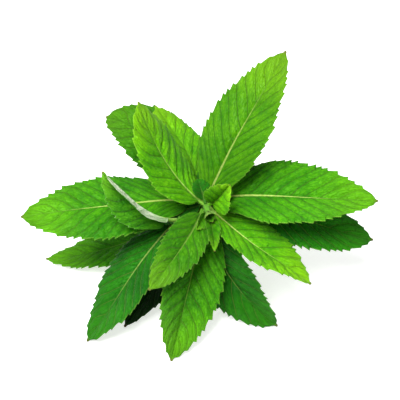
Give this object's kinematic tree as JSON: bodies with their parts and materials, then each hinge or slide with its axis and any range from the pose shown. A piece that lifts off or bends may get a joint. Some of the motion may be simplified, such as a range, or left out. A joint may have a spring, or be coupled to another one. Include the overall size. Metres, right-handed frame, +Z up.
{
  "type": "mint sprig",
  "caption": "Cut leafy sprig of spearmint with toothed, veined leaves in pairs on a square stem, lying on its lower leaf tips.",
  "frame": {"origin": "on the surface it lies on, under the middle of the whole sprig", "axes": "+X along its longest extent, across the sprig; +Y towards the cut end of the main stem; +Z up"},
  "size_m": [0.1456, 0.1118, 0.0927],
  "materials": {
    "leaf_green": "satin, quilted between the veins",
    "young_leaf_green": "satin, slightly downy",
    "stem_green": "satin"
  },
  "bodies": {
    "root": {"leaf_1": "young_leaf_green", "leaf_2_left": "young_leaf_green", "leaf_2_right": "young_leaf_green", "leaf_3_left": "leaf_green", "leaf_3_right": "leaf_green", "leaf_4_back": "leaf_green", "leaf_4_front": "leaf_green", "leaf_5_right": "leaf_green", "leaf_5_left": "leaf_green", "leaf_6_left": "leaf_green", "leaf_6_right": "leaf_green", "leaf_7_right": "leaf_green", "leaf_7_left": "leaf_green", "leaf_8_left": "leaf_green", "leaf_8_front": "leaf_green", "leaf_9_left": "leaf_green", "leaf_9_right": "leaf_green", "side_leaf_front": "leaf_green", "side_leaf_left": "leaf_green", "side_leaf_back": "young_leaf_green", "side_leaf_right": "young_leaf_green", "main_stem": "stem_green", "side_stem": "stem_green", "terminal_bud": "young_leaf_green"}
  },
  "joints": []
}
